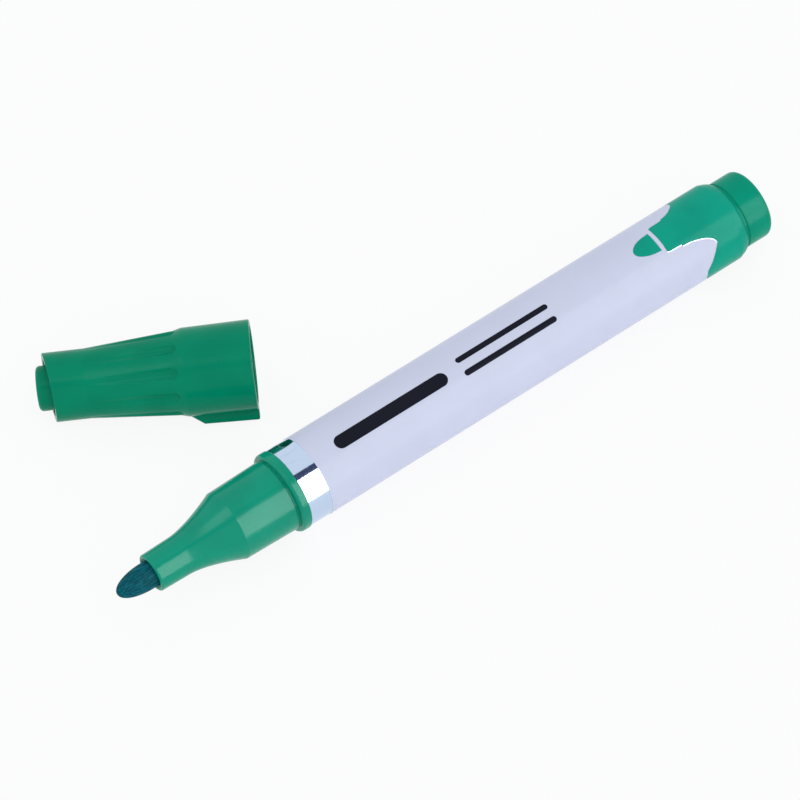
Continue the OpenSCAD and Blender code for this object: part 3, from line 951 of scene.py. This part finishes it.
@dataclass
class Cap:
    """The fluted cap, lying on its side, with the inner cup whose end shows as a button."""

    wall: float = 1.15
    skirt_len: float = 12.1
    skirt_draft: float = 0.15
    slope_len: float = 1.5
    slope_drop: float = 0.4
    straight_len: float = 7.8
    flutes: int = 10
    flute_turn: float = math.radians(1.5)
    flute_r: float = 1.4
    flute_depth: float = 0.65
    rim_lean: float = math.radians(9.5)
    rim_turn: float = math.radians(105)
    fin_h: float = 1.75
    fin_w: float = 1.8
    fin_len: float = 12.0
    fin_draft: float = 0.3
    fin_slope: float = 2.3
    fin_turn: float = math.radians(45)
    cup_wall: float = 0.85
    vent_gap: float = 0.48
    nib_room: float = 0.72
    tip_room: float = 3.25
    cup_end_t: float = 1.1
    button_out: float = 0.95
    cup_cover: float = 6.0
    rib_w: float = 1.0
    gate_at: float = 5.6
    gate_turn: float = math.radians(26)
    gate_r: float = 0.32
    cap_gap: float = 0.08
    seal_gap: float = 0.04
    back: float = 10.3
    aside: float = 24.0
    yaw: float = math.radians(-31.4)

    def __post_init__(self) -> None:
        """Works out the cap's radii and places from the nose that it fits."""
        nose = Nose()
        self.mouth_r = nose.collar_r - nose.collar_rise - nose.nose_step + self.cap_gap
        self.outer_r = self.mouth_r + self.wall
        self.skirt_rear_r = self.outer_r - self.skirt_draft
        self.grip_r = self.skirt_rear_r - self.slope_drop
        self.cup_r = nose.nib_r + nose.nib_gap + nose.neck_wall + nose.neck_draft + self.seal_gap
        self.inner_r = self.cup_r + self.cup_wall + self.vent_gap
        self.small_r = self.inner_r + self.wall
        self.button_r = nose.nib_r + self.nib_room + self.cup_wall
        self.neck_face = nose.body_len + nose.flare_len + nose.neck_len
        self.nose_len = nose.body_len
        self.cup_end = self.neck_face + nose.nib_out + self.tip_room + self.cup_end_t
        self.length = self.cup_end - self.button_out
        self.grip_at = self.skirt_len + self.slope_len
        self.straight_at = self.length - self.straight_len
        self.cone_end = nose.body_len + 0.57 * nose.flare_len
        foot = self.length - self.small_r * math.tan(self.rim_lean) * (1 + math.cos(self.rim_turn))
        self.pitch = math.atan((self.skirt_rear_r - self.small_r) / (foot - self.skirt_len))
        height = self.skirt_rear_r * math.cos(self.pitch) + self.skirt_len * math.sin(self.pitch)
        mouth = Vector((nose.front - self.back, -self.aside, height - nose.collar_r))
        self.place = (Matrix.Translation(mouth) @ Matrix.Rotation(self.yaw, 4, "Z")
                      @ Matrix.Rotation(self.pitch, 4, "Y"))

    def base_r(self, x: float) -> float:
        """Outer radius without flutes or fin, at a place along the cap."""
        marks = [(0.0, self.outer_r), (self.skirt_len, self.skirt_rear_r), (self.grip_at, self.grip_r),
                 (self.straight_at, self.small_r), (self.length + 1, self.small_r)]
        for (x0, r0), (x1, r1) in zip(marks, marks[1:]):
            if x <= x1:
                return r0 + (r1 - r0) * (x - x0) / (x1 - x0)
        return self.small_r

    def flute_cut(self, x: float, angle: float) -> float:
        """Depth of the flutes at a place on the cap, with softened edges.

        Args:
            x: place along the cap.
            angle: angle about the cap's axis, from straight up.

        Returns:
            How far the surface lies under the plain cone, in millimetres.
        """
        deep = self.grip_at + 0.7
        floor_deep = self.base_r(deep) - self.flute_depth
        floor_out = self.small_r
        pitch = TAU / self.flutes
        off = ((angle + self.flute_turn) / pitch + 0.5) % 1.0 - 0.5
        base = self.base_r(x)
        side = base * math.sin(off * pitch)
        share = (x - deep) / (self.straight_at - deep)
        floor = floor_deep + (floor_out - floor_deep) * share
        reach = self.flute_r ** 2 - side ** 2 - max(0.0, deep - x) ** 2
        if reach <= 0:
            return 0.0
        cut = base * math.cos(off * pitch) - (floor + self.flute_r - math.sqrt(reach))
        soft = 0.05
        return max(0.0, (cut + math.sqrt(cut * cut + soft * soft)) / 2 - soft / 4) if cut > -0.2 else 0.0

    def fin_rise(self, x: float, angle: float) -> float:
        """Height of the fin over the skirt at a place on the cap."""
        centre = RIGHT + self.fin_turn
        off = abs((angle - centre + math.pi) % TAU - math.pi) * self.outer_r
        edge = 0.16
        across = max(0.0, min(1.0, (self.fin_w / 2 + edge - off) / (2 * edge)))
        across = math.sin(across * RIGHT) ** 0.7
        knee = self.fin_len - self.fin_slope
        top = self.outer_r + self.fin_h - self.fin_draft * min(x / knee, 1.0)
        along = max(0.0, min(1.0, (self.fin_len - x) / self.fin_slope))
        return (top - self.base_r(x)) * across * along

    def angles(self) -> list[float]:
        """Angles of the cap's mesh lines: even ones, and close ones at the fin's sides."""
        even = self.flutes * 32
        marks = {round(TAU * k / even, 6) for k in range(even)}
        centre = RIGHT + self.fin_turn
        half = self.fin_w / 2 / self.outer_r
        step = 0.03 / self.outer_r
        for side in (-1, 1):
            marks |= {round(centre + side * (half + step * k), 6) for k in range(-8, 9)}
        kept: list[float] = []
        for a in sorted(marks):
            if not kept or a - kept[-1] > step * 0.5:
                kept.append(a)
        return kept

    def places(self) -> list[float]:
        """Places of the mesh's rings from the mouth to the straight end, closer at edges and bends."""
        marks = [(0.0, 0), (0.3, 8), (0.34, 1), (8.8, 12), (10.6, 12), (self.skirt_len - 0.08, 12),
                 (self.skirt_len + 0.08, 2), (self.grip_at - 0.08, 12), (self.grip_at + 0.08, 2),
                 (self.grip_at + 1.2, 12), (self.straight_at + 1.0, 64)]
        places = [0.0]
        for (start, _), (end, count) in zip(marks, marks[1:]):
            places += spread(start, end, count)[1:]
        return places

    def build(self, finishes: Finishes) -> None:
        """Builds and dresses the shell and the inner cup."""
        settle(self.build_shell(), Body.CAP, finishes.cap_plastic, Slot.CAP_PLASTIC, "cap_shell")
        settle(self.build_cup(), Body.CAP, finishes.cap_plastic, Slot.CAP_PLASTIC, "cap_inner_cup")
        settle(self.build_gate(), Body.CAP, finishes.cap_plastic, Slot.CAP_PLASTIC)

    def build_shell(self) -> bpy.types.Object:
        """Builds the shell as one closed skin: mouth, outside, small end and inside."""
        angles = self.angles()
        rim = 0.3
        rows: list[list[Vector]] = []

        def ring(rule: Callable[[float], Point]) -> None:
            """Adds a ring of points, whose place and radius follow a rule of the angle."""
            marks = [(a, *rule(a)) for a in angles]
            rows.append([Vector((x, r * math.sin(a), r * math.cos(a))) for a, x, r in marks])

        for x in self.places():
            plain = self.base_r(x) - (rim - math.sqrt(rim ** 2 - (rim - x) ** 2) if x < rim else 0.0)
            ring(lambda a, x=x, plain=plain: (x, plain - self.flute_cut(x, a) + self.fin_rise(x, a)))

        def end_at(a: float, r: float) -> float:
            """The place of the slanted small end at an angle and a radius."""
            return self.length - math.tan(self.rim_lean) * (self.small_r - r * math.cos(a + self.rim_turn))

        small = 0.14
        start = self.straight_at + 1.0
        for t in spread(0, 1, 9)[1:]:
            ring(lambda a, t=t: (start + (end_at(a, self.small_r) - small - 0.02 - start) * t, self.small_r))
        for turn in spread(0, RIGHT, 6):
            ring(lambda a, turn=turn: (end_at(a, self.small_r) - small * (1 - math.sin(turn)),
                                       self.small_r - small * (1 - math.cos(turn))))
        for turn in spread(0, RIGHT, 6):
            ring(lambda a, turn=turn: (end_at(a, self.inner_r) - small * (1 - math.cos(turn)),
                                       self.inner_r + small * (1 - math.sin(turn))))
        inside_marks = [(self.length - 3.0, self.inner_r), (self.cone_end + 0.2, self.inner_r),
                        (self.cone_end - 0.2, self.inner_r + 0.05), (self.nose_len + 0.7, self.mouth_r - 0.05),
                        (self.nose_len + 0.4, self.mouth_r), (0.6, self.mouth_r), (0.35, self.mouth_r + 0.01),
                        (0.12, self.mouth_r + 0.06), (0.02, self.mouth_r + 0.16), (0.0, self.mouth_r + 0.26)]
        for x, r in inside_marks:
            ring(lambda a, x=x, r=r: (x, r))
        sheet = Sheet()
        count = len(angles)
        sheet.points = [p for row in rows for p in row]
        for i in range(len(rows)):
            j = (i + 1) % len(rows)
            for k in range(count):
                m = (k + 1) % count
                sheet.faces.append((i * count + k, j * count + k, j * count + m, i * count + m))
        sheet.even_normals()
        return sheet.to_object("fluted_cap", self.place)

    def build_cup(self) -> bpy.types.Object:
        """Builds the inner cup and the ribs that hold it."""
        outer = self.cup_r + self.cup_wall
        opening = self.neck_face - self.cup_cover
        step = self.neck_face + 0.8
        bore = self.button_r - self.cup_wall
        floor = self.cup_end - self.cup_end_t
        outline = rounded([
            (floor, 0.0, 0), (floor, bore, 0.5), (step + 1, bore, 0.2), (step, self.cup_r, 0.2),
            (opening, self.cup_r, 0.2), (opening, outer, 0.2), (step, outer, 0.2),
            (step + 1, self.button_r, 0.2), (self.cup_end, self.button_r, 0.75), (self.cup_end, 0.0, 0)], 9)
        cup = lathe(outline, 128, closed=False)
        for i in range(4):
            spin = Matrix.Rotation(math.radians(45 + 90 * i), 4, "X")
            cup.add_box(Vector((opening + 0.5, -self.rib_w / 2, outer - 0.2)),
                        Vector((opening + self.cup_cover, self.rib_w / 2, self.inner_r)), spin)
        return cup.to_object("button_cup", self.place)

    def build_gate(self) -> bpy.types.Object:
        """Builds the small moulding mark on the skirt."""
        outline = [(0.07 * math.cos(a), self.gate_r * math.sin(a)) for a in spread(0, RIGHT, 8)]
        outline = [*outline, (-0.2, self.gate_r), (-0.2, 0.0)]
        r = self.base_r(self.gate_at)
        aim = Matrix.Rotation(-self.gate_turn, 4, "X") @ Matrix.Rotation(-RIGHT, 4, "Y")
        spot = Vector((self.gate_at, r * math.sin(self.gate_turn), r * math.cos(self.gate_turn)))
        place = self.place @ Matrix.Translation(spot) @ aim
        return lathe(outline[::-1], 24, closed=False).to_object("gate_mark", place)


# ---------------------------------------------------------------- the studio


def card(name: str, corners: Sequence[Vector]) -> bpy.types.Object:
    """Makes a flat stage piece, which is no part of the marker, from its corners in metres."""
    mesh = bpy.data.meshes.new(name)
    mesh.from_pydata([tuple(c) for c in corners], [], [tuple(range(len(corners)))])
    piece = bpy.data.objects.new(name, mesh)
    bpy.context.scene.collection.objects.link(piece)
    return piece


def seen_rays(nodes: Nodes) -> bpy.types.NodeSocket:
    """1 for the rays that show the background: the camera's, mirrored ones and those through clear film."""
    path = nodes.add("ShaderNodeLightPath")
    mirrored = nodes.math("MAXIMUM", path.outputs["Is Glossy Ray"], path.outputs["Is Transmission Ray"])
    return nodes.math("MAXIMUM", path.outputs["Is Camera Ray"], mirrored)


@dataclass
class Studio:
    """The camera, the floor and the lights."""

    azimuth: float = math.radians(143.4)
    elevation: float = math.radians(56.3)
    distance: float = 890.0
    lens: float = 228.5
    aim: tuple[float, float, float] = (20.79, -4.20, -1.83)

    def back(self) -> Vector:
        """The way from the object to the camera."""
        return Vector((math.sin(self.azimuth) * math.cos(self.elevation),
                       -math.cos(self.azimuth) * math.cos(self.elevation), math.sin(self.elevation)))

    def build(self) -> None:
        """Builds the camera, floor, world and lights."""
        self.build_camera()
        self.build_floor()
        self.build_world()
        self.build_lights()
        scene = bpy.context.scene
        scene.view_settings.view_transform = "Standard"

    def build_camera(self) -> None:
        """Places the camera on its line of sight."""
        data = bpy.data.cameras.new("camera")
        data.sensor_width = 36.0
        data.lens = self.lens
        data.clip_start, data.clip_end = 0.05, 20.0
        camera = bpy.data.objects.new("camera", data)
        camera.location = (Vector(self.aim) + self.back() * self.distance) * MM
        camera.rotation_mode = "QUATERNION"
        camera.rotation_quaternion = (-self.back()).to_track_quat("-Z", "Y")
        bpy.context.scene.collection.objects.link(camera)
        bpy.context.scene.camera = camera

    def build_floor(self) -> None:
        """Builds the pale floor, which shows white but keeps soft shadows."""
        half, z = 1.5, CAD_BOX[0].z - 0.00005
        floor = card("floor", [Vector((x * half, y * half, z)) for x, y in ((-1, -1), (1, -1), (1, 1), (-1, 1))])
        material, nodes, shader = new_material("pale_floor")
        dial(shader, Base_Color=(0.86, 0.86, 0.88, 1.0), Roughness=0.6, Specular_IOR_Level=0.2)
        glow = nodes.add("ShaderNodeEmission", Color=(1, 1, 1, 1), Strength=1.0)
        blend = nodes.add("ShaderNodeMixShader", Fac=nodes.math("MULTIPLY", seen_rays(nodes), 0.9))
        nodes.link(shader.outputs[0], blend.inputs[1])
        nodes.link(glow.outputs[0], blend.inputs[2])
        output = next(n for n in material.node_tree.nodes if n.type == "OUTPUT_MATERIAL")
        nodes.link(blend.outputs[0], output.inputs["Surface"])
        floor.data.materials.append(material)

    def build_world(self) -> None:
        """Builds a cool, even surround that the camera sees as white."""
        world = bpy.data.worlds.new("surround")
        bpy.context.scene.world = world
        world.use_nodes = True
        nodes = Nodes(world.node_tree)
        background = world.node_tree.nodes["Background"]
        seen = seen_rays(nodes)
        nodes.link(nodes.mix(seen, (0.93, 0.95, 1.0, 1), (1, 1, 1, 1)), background.inputs["Color"])
        strength = nodes.add("ShaderNodeMapRange", Value=seen, To_Min=0.85, To_Max=1.0)
        nodes.link(strength.outputs["Result"], background.inputs["Strength"])

    def panel(self, name: str, lean: float, distance: float, size: Point, power: float,
              along: float = 0.0) -> bpy.types.Object:
        """Builds a soft light that faces the marker.

        Args:
            name: the light's name.
            lean: its angle from straight up, in degrees, towards the camera's side.
            distance: how far it is, in metres.
            size: its length along the marker and its height, in metres.
            power: its power in watts.
            along: how far it is moved along the marker, in metres.

        Returns:
            The light.
        """
        data = bpy.data.lights.new(name, "AREA")
        data.shape = "RECTANGLE"
        data.size, data.size_y = size
        data.energy = power
        light = bpy.data.objects.new(name, data)
        a = math.radians(lean)
        way = Vector((0, math.sin(a), math.cos(a)))
        light.rotation_mode = "QUATERNION"
        light.rotation_quaternion = Matrix.Rotation(-a, 3, "X").to_quaternion()
        light.location = way * distance + Vector((along, 0, 0))
        bpy.context.scene.collection.objects.link(light)
        return light

    def flag(self, name: str, lean: float, distance: float, size: Point) -> None:
        """Builds a dark card that only mirrors and gloss see."""
        a = math.radians(lean)
        way = Vector((0, math.sin(a), math.cos(a)))
        right, up = Vector((size[0] / 2, 0, 0)), Vector((0, way.z, -way.y)) * (size[1] / 2)
        centre = way * distance
        dark = card(name, [centre + right * x + up * y for x, y in ((-1, -1), (1, -1), (1, 1), (-1, 1))])
        material, _, shader = new_material(name)
        dial(shader, Base_Color=(0.08, 0.09, 0.16, 1), Specular_IOR_Level=0.0)
        dark.data.materials.append(material)
        for ray in ("camera", "diffuse", "shadow", "transmission", "volume_scatter"):
            setattr(dark, f"visible_{ray}", False)

    def build_lights(self) -> None:
        """Builds the soft light, the bright faces that only gloss shows, and the mirror film's dark card."""
        self.panel("soft_box", 57.0, 0.75, (1.6, 0.84), 1.1).visible_glossy = False
        self.panel("soft_box_face", 55.7, 0.75, (1.6, 1.0), 35.0, along=-0.82).visible_diffuse = False
        self.panel("overhead_face", -9.1, 1.01, (0.4, 0.66), 2.2, along=0.5).visible_diffuse = False
        self.flag("dark_card", 15.5, 0.6, (1.6, 0.19))


def dress_inner_nodes(finishes: Finishes) -> None:
    """Gives the reservoir and its film, which keep their CAD shape, their materials."""
    for node, material in (("reservoir_core", finishes.reservoir_fibre), ("reservoir_wrap", finishes.clear_film)):
        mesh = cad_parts[node].data
        mesh.materials.clear()
        mesh.materials.append(material)
        LOG.info("%s keeps its CAD shape", node)


def main() -> None:
    """Builds the studio and every piece of the marker."""
    logging.basicConfig(level=logging.INFO, format="%(name)s: %(message)s")
    Studio().build()
    finishes = Finishes()
    Nose().build(finishes)
    Barrel().build(finishes)
    Plug().build(finishes)
    Cap().build(finishes)
    dress_inner_nodes(finishes)


if __name__ == "__main__":
    main()
